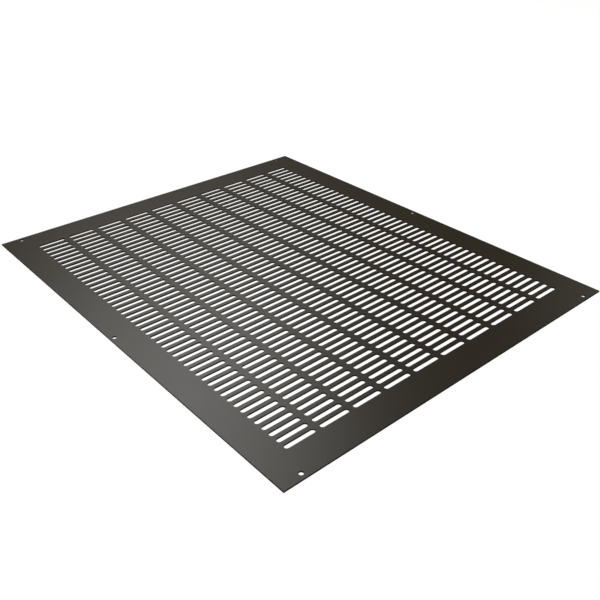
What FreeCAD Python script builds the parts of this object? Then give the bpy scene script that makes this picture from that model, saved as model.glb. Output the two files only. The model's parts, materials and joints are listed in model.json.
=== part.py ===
"""Slotted sheet metal vent panel.

One flat rectangular blank of thin sheet, punched with a field of narrow slots
that air passes through, and with six plain holes for its fixing screws: one in
each corner and one at the middle of each long edge.

Frame: the origin is the centre of the underside, X runs across the panel along
the slots, Y runs along the panel from row to row, and Z points up out of the
top face. Sizes are in millimetres.
"""

import FreeCAD, Part
import os
import Sketcher
from math import pi

# The driving sizes. Each one can be changed by itself.
SIZES = [
    ("panel_width", 412.0, "across the panel, along the slots"),
    ("panel_length", 490.0, "along the panel, from row to row"),
    ("sheet_thickness", 1.5, "gauge of the sheet"),
    ("slot_length", 31.0, "end to end"),
    ("slot_width", 5.0, "across one slot"),
    ("slot_end_web", 5.0, "metal left between the ends of two slots in a row"),
    ("bar_width", 4.0, "metal left between two rows of slots"),
    ("least_side_border", 28.0, "plain metal kept at least at each long edge"),
    ("least_end_border", 30.0, "plain metal kept at least at each short edge"),
    ("screw_hole_diameter", 4.5, "clearance for an M4 screw"),
    ("corner_hole_side_inset", 21.0, "corner hole's centre to the long edge"),
    ("corner_hole_end_inset", 5.5, "corner hole's centre to the short edge"),
    ("middle_hole_inset", 4.5, "middle hole's centre to the long edge"),
]

# What follows from the driving sizes: as many slots as fit between the borders,
# in a field that is centred on the panel.
WORKED_OUT = [
    ("column_pitch", "slot_length + slot_end_web"),
    ("row_pitch", "slot_width + bar_width"),
    ("columns", "floor((panel_width - 2 * least_side_border + slot_end_web) / column_pitch)"),
    ("rows", "floor((panel_length - 2 * least_end_border + bar_width) / row_pitch)"),
    ("field_width", "columns * column_pitch - slot_end_web"),
    ("field_length", "rows * row_pitch - bar_width"),
]


# How Sketcher numbers an edge's points, a rectangle's corners and its own axes.
START = 1
END = 2
CENTRE = 3
LOW_LEFT = (0, START)
HIGH_RIGHT = (2, START)
SKETCH_ORIGIN = (-1, START)
X_AXIS = -1

# Four corner holes and two middle holes.
SCREW_HOLES = 6


def make_sizes_sheet(doc):
    """Put the driving sizes and what follows from them in a spreadsheet."""
    sheet = doc.addObject("Spreadsheet::Sheet", "sizes")
    row = 1
    for name, value, meaning in SIZES:
        sheet.set(f"A{row}", meaning)
        sheet.set(f"B{row}", str(value))
        sheet.setAlias(f"B{row}", name)
        row += 1
    for name, formula in WORKED_OUT:
        sheet.set(f"A{row}", name.replace("_", " "))
        sheet.set(f"B{row}", "=" + formula)
        sheet.setAlias(f"B{row}", name)
        row += 1
    doc.recompute()
    return sheet


def origin_plane(body, role):
    """Find one of the body's own three origin planes."""
    return [plane for plane in body.Origin.OriginFeatures if plane.Role == role][0]


def underside_sketch(body, name):
    """Start a sketch on the underside of the sheet, the body's own XY plane."""
    sketch = body.newObject("Sketcher::SketchObject", name)
    sketch.AttachmentSupport = [(origin_plane(body, "XY_Plane"), "")]
    sketch.MapMode = "FlatFace"
    return sketch


def bind_distance(sketch, kind, first, second, name, formula):
    """Dimension a sketch from one point to another and bind it to the sheet."""
    index = sketch.addConstraint(Sketcher.Constraint(kind, *first, *second, 1.0))
    sketch.renameConstraint(index, name)
    sketch.setExpression(f"Constraints.{name}", formula)


def draw_rectangle(sketch, left, low, right, high):
    """Draw a closed rectangle that stays square to the axes.

    Its edges run round from the low left corner: low, right, high and left.
    """
    corners = [
        FreeCAD.Vector(left, low, 0),
        FreeCAD.Vector(right, low, 0),
        FreeCAD.Vector(right, high, 0),
        FreeCAD.Vector(left, high, 0),
    ]
    for number, corner in enumerate(corners):
        sketch.addGeometry(Part.LineSegment(corner, corners[(number + 1) % 4]), False)
    for number in range(4):
        joint = (number, END, (number + 1) % 4, START)
        sketch.addConstraint(Sketcher.Constraint("Coincident", *joint))
    for number in (0, 2):
        sketch.addConstraint(Sketcher.Constraint("Horizontal", number))
    for number in (1, 3):
        sketch.addConstraint(Sketcher.Constraint("Vertical", number))


def pad_blank(body, sheet):
    """Shear the plain blank, centred on the origin and as thick as the sheet."""
    outline = underside_sketch(body, "blank_outline")
    reach_x = sheet.panel_width / 2
    reach_y = sheet.panel_length / 2
    draw_rectangle(outline, -reach_x, -reach_y, reach_x, reach_y)
    centred = (*LOW_LEFT, *HIGH_RIGHT, *SKETCH_ORIGIN)
    outline.addConstraint(Sketcher.Constraint("Symmetric", *centred))
    bind_distance(outline, "DistanceX", LOW_LEFT, HIGH_RIGHT, "width", "sizes.panel_width")
    bind_distance(outline, "DistanceY", LOW_LEFT, HIGH_RIGHT, "length", "sizes.panel_length")
    blank = body.newObject("PartDesign::Pad", "blank")
    blank.Profile = outline
    blank.setExpression("Length", "sizes.sheet_thickness")


def punch(body, sketch, name):
    """Cut a sketch up through the whole thickness of the sheet."""
    cut = body.newObject("PartDesign::Pocket", name)
    cut.Profile = sketch
    cut.Type = "ThroughAll"
    cut.Reversed = True
    return cut


def punch_screw_hole(body, name, reach_x, reach_y):
    """Punch one round hole, so far out from the panel's centre along X and Y."""
    sketch = underside_sketch(body, name + "_outline")
    start = FreeCAD.Vector(1, 1, 0)
    sketch.addGeometry(Part.Circle(start, FreeCAD.Vector(0, 0, 1), 1), False)
    bind_distance(sketch, "DistanceX", SKETCH_ORIGIN, (0, CENTRE), "reach_x", reach_x)
    if reach_y is None:
        sketch.addConstraint(Sketcher.Constraint("PointOnObject", 0, CENTRE, X_AXIS))
    else:
        bind_distance(sketch, "DistanceY", SKETCH_ORIGIN, (0, CENTRE), "reach_y", reach_y)
    size = sketch.addConstraint(Sketcher.Constraint("Diameter", 0, 1.0))
    sketch.renameConstraint(size, "diameter")
    sketch.setExpression("Constraints.diameter", "sizes.screw_hole_diameter")
    return punch(body, sketch, name)


def mirror_hole(body, hole, roles):
    """Repeat a hole across each of the planes that halve the panel."""
    repeat = body.newObject("PartDesign::MultiTransform", hole.Name + "s")
    repeat.Originals = [hole]
    mirrors = []
    for role in roles:
        mirror = body.newObject("PartDesign::Mirrored", hole.Name + "_across_" + role[:2])
        mirror.MirrorPlane = (origin_plane(body, role), [""])
        mirrors.append(mirror)
    repeat.Transformations = mirrors
    body.Tip = repeat


def punch_first_slot(body, sheet):
    """Punch the slot in the field's low left corner, its left end on the border."""
    outline = underside_sketch(body, "first_slot_outline")
    left = -sheet.field_width / 2
    low = -sheet.field_length / 2
    draw_rectangle(outline, left, low, left + sheet.slot_length, low + sheet.slot_width)
    bind_distance(outline, "DistanceX", LOW_LEFT, SKETCH_ORIGIN, "reach_x", "sizes.field_width / 2")
    bind_distance(outline, "DistanceY", LOW_LEFT, SKETCH_ORIGIN, "reach_y", "sizes.field_length / 2")
    bind_distance(outline, "DistanceX", LOW_LEFT, HIGH_RIGHT, "length", "sizes.slot_length")
    bind_distance(outline, "DistanceY", LOW_LEFT, HIGH_RIGHT, "width", "sizes.slot_width")
    return punch(body, outline, "first_slot")


def repeat_slot(body, slot):
    """Repeat the slot along its row, and the row along the panel."""
    directions = [
        ("slots_in_a_row", "H_Axis", "sizes.column_pitch", "sizes.columns"),
        ("rows_of_slots", "V_Axis", "sizes.row_pitch", "sizes.rows"),
    ]
    field = body.newObject("PartDesign::MultiTransform", "slot_field")
    field.Originals = [slot]
    patterns = []
    for name, axis, pitch, count in directions:
        pattern = body.newObject("PartDesign::LinearPattern", name)
        pattern.Direction = (slot.Profile[0], [axis])
        pattern.Mode = "Spacing"
        pattern.setExpression("Offset", pitch)
        pattern.setExpression("Occurrences", count)
        patterns.append(pattern)
    field.Transformations = patterns
    body.Tip = field


def make_slotted_panel(doc, sheet):
    """Blank, screw holes, then the field of slots: one flat piece of sheet."""
    panel = doc.addObject("PartDesign::Body", "slotted_panel")
    panel.Label = "slotted_panel"
    pad_blank(panel, sheet)
    corner_hole = punch_screw_hole(
        panel,
        "corner_hole",
        "sizes.panel_width / 2 - sizes.corner_hole_side_inset",
        "sizes.panel_length / 2 - sizes.corner_hole_end_inset",
    )
    mirror_hole(panel, corner_hole, ["YZ_Plane", "XZ_Plane"])
    middle_hole = punch_screw_hole(
        panel,
        "middle_hole",
        "sizes.panel_width / 2 - sizes.middle_hole_inset",
        None,
    )
    mirror_hole(panel, middle_hole, ["YZ_Plane"])
    first_slot = punch_first_slot(panel, sheet)
    repeat_slot(panel, first_slot)
    panel.Placement = FreeCAD.Placement()
    return panel


def check_features(doc):
    """Stop if any object of the document failed to build."""
    for item in doc.Objects:
        if "Invalid" in item.State or "Error" in item.State:
            raise RuntimeError(f"{item.Label} did not build: {item.State}")


def check_shape(panel, sheet):
    """Stop unless the panel is one sound solid with every hole cut through."""
    shape = panel.Shape
    if shape.isNull() or not shape.isValid() or len(shape.Solids) != 1:
        raise RuntimeError("the panel is not one sound solid")
    slots = sheet.columns * sheet.rows * sheet.slot_length * sheet.slot_width
    screw_holes = SCREW_HOLES * pi * (sheet.screw_hole_diameter / 2) ** 2
    face = sheet.panel_width * sheet.panel_length - slots - screw_holes
    expected = face * sheet.sheet_thickness
    if abs(shape.Volume - expected) > expected * 1e-6:
        raise RuntimeError(f"volume {shape.Volume:.1f} mm3 in place of {expected:.1f} mm3")
    print(f"{sheet.columns:.0f} columns by {sheet.rows:.0f} rows of slots")
    print(f"volume {shape.Volume:.0f} mm3, {len(shape.Faces)} faces")


def main():
    doc = FreeCAD.newDocument("slotted_panel")
    sheet = make_sizes_sheet(doc)
    panel = make_slotted_panel(doc, sheet)
    doc.recompute()
    check_features(doc)
    check_shape(panel, sheet)
    os.makedirs("parts", exist_ok=True)
    panel.Shape.exportStep(f"parts/{panel.Label}.step")


main()
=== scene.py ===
# %% [markdown]
# # A slotted sheet metal vent panel
#
# This panel covers a vent in a cabinet. It is one flat sheet of steel with
# hundreds of narrow slots punched through it, so that air passes and fingers
# don't, and it is coated in a dark satin paint. The lesson loads the panel's
# plain CAD model as a frame, models the finished sheet around it with bmesh
# operators, gives it its coat, and lights it in a white studio.

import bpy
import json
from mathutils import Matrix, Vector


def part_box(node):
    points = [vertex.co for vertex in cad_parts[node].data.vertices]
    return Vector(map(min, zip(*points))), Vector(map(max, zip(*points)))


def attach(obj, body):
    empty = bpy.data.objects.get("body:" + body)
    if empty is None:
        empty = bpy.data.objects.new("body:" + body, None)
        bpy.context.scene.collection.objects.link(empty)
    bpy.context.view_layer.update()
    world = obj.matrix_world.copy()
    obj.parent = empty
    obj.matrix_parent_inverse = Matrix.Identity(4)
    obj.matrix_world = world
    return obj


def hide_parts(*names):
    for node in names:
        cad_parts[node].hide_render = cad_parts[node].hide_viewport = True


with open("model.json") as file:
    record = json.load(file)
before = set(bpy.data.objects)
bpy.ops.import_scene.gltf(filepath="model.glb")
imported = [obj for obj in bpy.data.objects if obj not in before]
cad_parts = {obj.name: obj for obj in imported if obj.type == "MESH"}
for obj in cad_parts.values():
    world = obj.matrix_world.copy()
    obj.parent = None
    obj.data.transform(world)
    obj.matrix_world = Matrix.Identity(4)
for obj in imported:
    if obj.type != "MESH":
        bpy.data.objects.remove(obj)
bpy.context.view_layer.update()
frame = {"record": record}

# %% [markdown]
# ## The sizes to work from
#
# Blender works in metres, and a sheet metal drawing is in millimetres, so one
# named value turns one into the other. The sheet's outline and thickness come
# from the frame, and so do the screw holes: the record lists where screws go.
# Only what the frame doesn't state is written here, which is the slots.

# %% Sizes of the sheet, its holes and its slots
import json
import math
from math import pi

import bmesh
import bpy
from mathutils import Vector

MM = 0.001
sheet_low, sheet_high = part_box("slotted_panel")
PANEL_WIDTH = sheet_high.x - sheet_low.x
PANEL_LENGTH = sheet_high.y - sheet_low.y
UNDERSIDE = sheet_low.z
TOP_FACE = sheet_high.z

mounts = {mount["name"]: mount["dims"] for mount in frame["record"]["mounts"]}
corner_screws = mounts["corner_screw_holes"]
middle_screws = mounts["middle_screw_holes"]
SCREW_HOLE_RADIUS = corner_screws["hole_r_mm"] * MM
CORNER_HOLE_X = corner_screws["spacing_x_mm"] / 2 * MM
CORNER_HOLE_Y = corner_screws["spacing_y_mm"] / 2 * MM
MIDDLE_HOLE_X = middle_screws["spacing_x_mm"] / 2 * MM

SLOT_LENGTH = 31 * MM
SLOT_WIDTH = 5 * MM
COLUMN_PITCH = 36 * MM
ROW_PITCH = 9 * MM
LEAST_SIDE_BORDER = 28 * MM
LEAST_END_BORDER = 30 * MM
SLOT_END_WEB = COLUMN_PITCH - SLOT_LENGTH
BAR_WIDTH = ROW_PITCH - SLOT_WIDTH
COLUMNS = math.floor((PANEL_WIDTH - 2 * LEAST_SIDE_BORDER + SLOT_END_WEB) / COLUMN_PITCH)
ROWS = math.floor((PANEL_LENGTH - 2 * LEAST_END_BORDER + BAR_WIDTH) / ROW_PITCH)
print(f"{COLUMNS} columns and {ROWS} rows of slots")

# %% [markdown]
# ## The edges of a coated sheet
#
# A punch leaves a crisp edge. The coat then covers it, so an opening ends up a
# hair narrower than it was punched, and its rim a little rounded. Every edge of
# this sheet, round a slot, a screw hole or the outline, is made the same way:
# one closed outline is drawn at the top face, a hair below it and at the
# underside. The lower two stand out further, by the rounding, so the wall
# starts in a small slope. The underside is never seen, so its rim stays plain
# and each slot keeps its faces few.

# %% How far the coat stands out over the bare edge at each height
COAT_THICKNESS = 0.12 * MM
EDGE_ROUND = 0.06 * MM
EDGE_STEPS = [
    (COAT_THICKNESS - EDGE_ROUND, TOP_FACE),
    (COAT_THICKNESS, TOP_FACE - EDGE_ROUND),
    (COAT_THICKNESS, UNDERSIDE),
]


def wall_through_sheet(bm, draw_outline):
    """Join an outline's drawings into a wall, and return its two rims."""
    loops = [draw_outline(proud, height) for proud, height in EDGE_STEPS]
    for upper, lower in zip(loops, loops[1:]):
        bmesh.ops.bridge_loops(bm, edges=upper + lower)
    return loops[0], loops[-1]


def close_loop(bm, verts):
    """Join verts in a ring and return the ring's edges."""
    edges = []
    for first, second in zip(verts, verts[1:] + verts[:1]):
        edges.append(bm.edges.get((first, second)) or bm.edges.new((first, second)))
    return edges


def draw_rectangle(bm, half_x, half_y, z):
    """Draw a rectangle about the middle, and return its four edges."""
    corners = [(-half_x, -half_y), (half_x, -half_y), (half_x, half_y), (-half_x, half_y)]
    return close_loop(bm, [bm.verts.new((x, y, z)) for x, y in corners])


# %% [markdown]
# ## One slot
#
# A slot with round ends is two half circles joined by straight sides. Spin
# turns a single point about an end's centre and leaves an arc behind it, so
# two spins and two straight edges draw the outline. Five steps for each end
# look round in a slot this small, and the shape is repeated hundreds of times,
# so it has to stay light.

# %% Draw a slot's outline
END_STEPS = 5
END_CENTRE = (SLOT_LENGTH - SLOT_WIDTH) / 2


def spin_half_circle(bm, start, centre):
    """Spin a point half way round a centre, and return the arc's points in order."""
    arc = [start]
    for _ in range(END_STEPS):
        turned = bmesh.ops.spin(
            bm, geom=[arc[-1]], cent=centre, axis=(0, 0, 1), angle=pi / END_STEPS, steps=1
        )
        arc.append([item for item in turned["geom_last"] if isinstance(item, bmesh.types.BMVert)][0])
    return arc


def draw_slot(bm, proud, z):
    """Draw a slot's outline about the middle, and return its edges."""
    radius = SLOT_WIDTH / 2 - proud
    right_start = bm.verts.new((END_CENTRE, -radius, z))
    right_end = spin_half_circle(bm, right_start, (END_CENTRE, 0, z))
    left_start = bm.verts.new((-END_CENTRE, radius, z))
    left_end = spin_half_circle(bm, left_start, (-END_CENTRE, 0, z))
    return close_loop(bm, right_end + left_end)


# %% [markdown]
# ## One cell of the field, and then all of them
#
# Punching hundreds of slots with booleans would be slow and could leave poor
# faces. The field is a repeat instead, so it is built from one cell: a
# rectangle as large as the two pitches, with a slot in its middle. The cell is
# filled on both faces, copied along a row, and the row is copied along the
# panel. Cells touch corner to corner, so welding them leaves one sheet.

# %% Build a cell and repeat it


def build_cell(bm):
    """Build one cell: the sheet round a single slot, filled on both faces."""
    rims = wall_through_sheet(bm, lambda proud, z: draw_slot(bm, proud, z))
    for rim, height in zip(rims, (TOP_FACE, UNDERSIDE)):
        outline = draw_rectangle(bm, COLUMN_PITCH / 2, ROW_PITCH / 2, height)
        bmesh.ops.triangle_fill(bm, edges=rim + outline, use_beauty=True)


def repeat(bm, step, count):
    """Copy all that bm holds so many times in a line, centred on where it was."""
    first = bm.verts[:] + bm.edges[:] + bm.faces[:]
    start = step * (-(count - 1) / 2)
    for number in range(1, count):
        copy = bmesh.ops.duplicate(bm, geom=first)
        verts = [item for item in copy["geom"] if isinstance(item, bmesh.types.BMVert)]
        bmesh.ops.translate(bm, verts=verts, vec=step * number)
    bmesh.ops.translate(bm, verts=bm.verts, vec=start)


sheet = bmesh.new()
build_cell(sheet)
print(f"one cell has {len(sheet.faces)} faces")
repeat(sheet, Vector((COLUMN_PITCH, 0, 0)), COLUMNS)
repeat(sheet, Vector((0, ROW_PITCH, 0)), ROWS)
WELD = 0.01 * MM
bmesh.ops.remove_doubles(sheet, verts=sheet.verts, dist=WELD)
print(f"the field has {len(sheet.faces)} faces")

# %% [markdown]
# ## The plain border and its screw holes
#
# Round the field the sheet is plain out to its square corners, but for six
# screw holes. The border is one more fill on each face: its edges are the
# sheet's outline, the rims of the screw holes, and the open edges that the
# field still has all round it.

# %% Fill the border and close the sheet
HOLE_STEPS = 32
HOLE_PLACES = [(side * CORNER_HOLE_X, end * CORNER_HOLE_Y) for side in (-1, 1) for end in (-1, 1)]
HOLE_PLACES += [(side * MIDDLE_HOLE_X, 0) for side in (-1, 1)]


def draw_hole(bm, centre_x, centre_y, proud, z):
    """Draw a screw hole's outline, and return its edges."""
    ring = bmesh.ops.create_circle(bm, segments=HOLE_STEPS, radius=SCREW_HOLE_RADIUS - proud)
    bmesh.ops.translate(bm, verts=ring["verts"], vec=(centre_x, centre_y, z))
    return list({edge for vert in ring["verts"] for edge in vert.link_edges})


def draw_outline(bm, proud, z):
    """Draw the sheet's own outline, which is at full size with the coat on."""
    inset = COAT_THICKNESS - proud
    return draw_rectangle(bm, PANEL_WIDTH / 2 - inset, PANEL_LENGTH / 2 - inset, z)


open_edges = [edge for edge in sheet.edges if edge.is_boundary]
field_edges = {
    height: [edge for edge in open_edges if abs(edge.verts[0].co.z - height) < WELD]
    for height in (TOP_FACE, UNDERSIDE)
}
all_rims = [wall_through_sheet(sheet, lambda proud, z: draw_outline(sheet, proud, z))]
for hole_x, hole_y in HOLE_PLACES:
    all_rims.append(
        wall_through_sheet(sheet, lambda proud, z: draw_hole(sheet, hole_x, hole_y, proud, z))
    )
for face_number, height in enumerate((TOP_FACE, UNDERSIDE)):
    border = field_edges[height] + [edge for rims in all_rims for edge in rims[face_number]]
    bmesh.ops.triangle_fill(sheet, edges=border, use_beauty=True)
bmesh.ops.recalc_face_normals(sheet, faces=sheet.faces)
print("open edges left:", sum(not edge.is_manifold for edge in sheet.edges))

# %% [markdown]
# ## Flat faces stay flat, round ends look round
#
# A face can be shaded flat or smooth. Here all are smooth, and each edge that
# turns by more than 40 degrees is marked sharp: the flats, the walls and their
# sloped rims keep crisp borders, and the slots' round ends lose their facets.

# %% Shade the sheet and make it an object
SHARP_TURN = math.radians(40)

for face in sheet.faces:
    face.smooth = True
for edge in sheet.edges:
    edge.smooth = edge.calc_face_angle(0) < SHARP_TURN
panel_mesh = bpy.data.meshes.new("vent_panel")
sheet.to_mesh(panel_mesh)
triangles = sum(len(face.verts) - 2 for face in sheet.faces)
sheet.free()
vent_panel = bpy.data.objects.new("vent_panel", panel_mesh)
bpy.context.scene.collection.objects.link(vent_panel)
print(f"the panel has {triangles} triangles and measures {tuple(vent_panel.dimensions)}")

# %% [markdown]
# ## The coat
#
# The paint is a satin black with a little brown in it, baked on as a powder.
# Close up it has a very fine orange peel, and its gloss is a little uneven
# from place to place. Three noises make that, all on Object coordinates, which
# stay fixed to the sheet: one shifts the colour, one the roughness, and the
# finest one is the bump.

# %% Make the coat's material
COAT_DARK = (0.0110, 0.0080, 0.0030, 1)
COAT_LIGHT = (0.0130, 0.0095, 0.0040, 1)
COAT_ROUGHNESS = (0.36, 0.40)
MOTTLE_PER_METRE = 40
SHEEN_PER_METRE = 15
PEEL_PER_METRE = 1600
PEEL_HEIGHT = 0.01 * MM


def add_noise(tree, coordinates, scale, detail):
    """Add a noise texture on the given coordinates."""
    noise = tree.nodes.new("ShaderNodeTexNoise")
    noise.inputs["Scale"].default_value = scale
    noise.inputs["Detail"].default_value = detail
    tree.links.new(coordinates, noise.inputs["Vector"])
    return noise.outputs["Fac"]


def make_coat():
    """The satin black coat of the sheet."""
    material = bpy.data.materials.new("dark_satin_coat")
    material.use_nodes = True
    tree = material.node_tree
    surface = tree.nodes["Principled BSDF"]
    place = tree.nodes.new("ShaderNodeTexCoord").outputs["Object"]

    tint = tree.nodes.new("ShaderNodeMix")
    tint.data_type = "RGBA"
    tint.inputs["A"].default_value = COAT_DARK
    tint.inputs["B"].default_value = COAT_LIGHT
    tree.links.new(add_noise(tree, place, MOTTLE_PER_METRE, 3), tint.inputs["Factor"])
    tree.links.new(tint.outputs["Result"], surface.inputs["Base Color"])

    gloss = tree.nodes.new("ShaderNodeMapRange")
    gloss.inputs["To Min"].default_value = COAT_ROUGHNESS[0]
    gloss.inputs["To Max"].default_value = COAT_ROUGHNESS[1]
    tree.links.new(add_noise(tree, place, SHEEN_PER_METRE, 2), gloss.inputs["Value"])
    tree.links.new(gloss.outputs["Result"], surface.inputs["Roughness"])

    peel = tree.nodes.new("ShaderNodeBump")
    peel.inputs["Distance"].default_value = PEEL_HEIGHT
    tree.links.new(add_noise(tree, place, PEEL_PER_METRE, 1), peel.inputs["Height"])
    tree.links.new(peel.outputs["Normal"], surface.inputs["Normal"])
    return material


panel_mesh.materials.append(make_coat())
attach(vent_panel, "root")
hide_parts("slotted_panel")

# %% [markdown]
# ## The studio
#
# The panel lies on a floor that glows white for the camera alone, under a sky
# that the camera sees as white too. To the coat the sky is dim and a little
# warm. The floor is a hair lower than the sheet, so that no two faces share a
# place.

# %% Floor and sky
FLOOR_REACH = 6.0
FLOOR_GAP = 0.1 * MM
FLOOR_COLOUR = (0.08, 0.08, 0.08, 1)
FLOOR_GLOW = 0.947
SKY_LIGHT = (0.128, 0.104, 0.066, 1)
WHITE = (1, 1, 1, 1)


def make_floor_material():
    """A white floor: its glow is seen by the camera only, and it keeps shadows."""
    material = bpy.data.materials.new("studio_floor")
    material.use_nodes = True
    tree = material.node_tree
    surface = tree.nodes["Principled BSDF"]
    surface.inputs["Base Color"].default_value = FLOOR_COLOUR
    surface.inputs["Roughness"].default_value = 1.0
    surface.inputs["Specular IOR Level"].default_value = 0.0
    surface.inputs["Emission Color"].default_value = WHITE
    seen = tree.nodes.new("ShaderNodeLightPath")
    glow = tree.nodes.new("ShaderNodeMath")
    glow.operation = "MULTIPLY"
    glow.inputs[1].default_value = FLOOR_GLOW
    tree.links.new(seen.outputs["Is Camera Ray"], glow.inputs[0])
    tree.links.new(glow.outputs["Value"], surface.inputs["Emission Strength"])
    return material


floor_shape = bmesh.new()
bmesh.ops.create_grid(floor_shape, x_segments=1, y_segments=1, size=FLOOR_REACH)
bmesh.ops.translate(floor_shape, verts=floor_shape.verts, vec=(0, 0, UNDERSIDE - FLOOR_GAP))
floor_mesh = bpy.data.meshes.new("floor")
floor_shape.to_mesh(floor_mesh)
floor_shape.free()
floor_mesh.materials.append(make_floor_material())
floor = bpy.data.objects.new("floor", floor_mesh)
bpy.context.scene.collection.objects.link(floor)

sky = bpy.data.worlds.new("white_sky")
sky.use_nodes = True
sky_nodes = sky.node_tree.nodes
sky_links = sky.node_tree.links
seen = sky_nodes.new("ShaderNodeLightPath")
sky_colour = sky_nodes.new("ShaderNodeMix")
sky_colour.data_type = "RGBA"
sky_colour.inputs["A"].default_value = SKY_LIGHT
sky_colour.inputs["B"].default_value = WHITE
sky_links.new(seen.outputs["Is Camera Ray"], sky_colour.inputs["Factor"])
sky_links.new(sky_colour.outputs["Result"], sky_nodes["Background"].inputs["Color"])
sky_nodes["Background"].inputs["Strength"].default_value = 1.0
bpy.context.scene.world = sky

# %% [markdown]
# ## The lamps
#
# Paint this dark mostly shows what it reflects, so the lamps are placed by
# where their reflection falls. As the camera sees it, one soft box stands
# behind the panel, a little to the left, and gives the broad pale band across
# the near left border. A weaker one far to the right lifts the border on that
# side. The fill box is large and high behind the camera, where the coat
# doesn't mirror it, and only brings out the coat's own colour.

# %% Place the lamps


def add_soft_box(name, turn, rise, distance, width, height, watts):
    """A rectangular lamp aimed at the panel's middle.

    turn is its bearing from the panel's far end, towards +X, and rise is its
    height above the horizon, both in degrees.
    """
    lamp = bpy.data.lights.new(name, "AREA")
    lamp.shape = "RECTANGLE"
    lamp.size = width
    lamp.size_y = height
    lamp.energy = watts
    away = Vector((
        math.sin(math.radians(turn)) * math.cos(math.radians(rise)),
        math.cos(math.radians(turn)) * math.cos(math.radians(rise)),
        math.sin(math.radians(rise)),
    ))
    soft_box = bpy.data.objects.new(name, lamp)
    soft_box.location = away * distance
    soft_box.rotation_euler = away.to_track_quat("Z", "Y").to_euler()
    bpy.context.scene.collection.objects.link(soft_box)
    return soft_box


add_soft_box("far_box", turn=23.4, rise=48.2, distance=1.6, width=0.744, height=0.795, watts=7.88)
add_soft_box("right_box", turn=88.9, rise=26.3, distance=1.6, width=0.753, height=0.631, watts=0.96)
add_soft_box("fill_box", turn=220, rise=65, distance=6.0, width=4.5, height=4.5, watts=234)

# %% [markdown]
# ## The camera
#
# The camera looks down on the panel from beyond its near left corner, so the
# panel's far corner points away. It is placed from the spot it is aimed at, by
# a turn round the panel, a rise above the horizon and a distance.

# %% Place the camera
CAMERA_TURN = 40.94
CAMERA_RISE = 31.87
CAMERA_DISTANCE = 736 * MM
CAMERA_AIM = Vector((-32 * MM, -61.8 * MM, TOP_FACE))
LENS_MM = 45.02

camera_data = bpy.data.cameras.new("camera")
camera_data.lens = LENS_MM
camera = bpy.data.objects.new("camera", camera_data)
towards_camera = Vector((
    -math.sin(math.radians(CAMERA_TURN)) * math.cos(math.radians(CAMERA_RISE)),
    -math.cos(math.radians(CAMERA_TURN)) * math.cos(math.radians(CAMERA_RISE)),
    math.sin(math.radians(CAMERA_RISE)),
))
camera.location = CAMERA_AIM + towards_camera * CAMERA_DISTANCE
camera.rotation_euler = towards_camera.to_track_quat("Z", "Y").to_euler()
bpy.context.scene.collection.objects.link(camera)
bpy.context.scene.camera = camera
bpy.context.scene.view_settings.view_transform = "Standard"
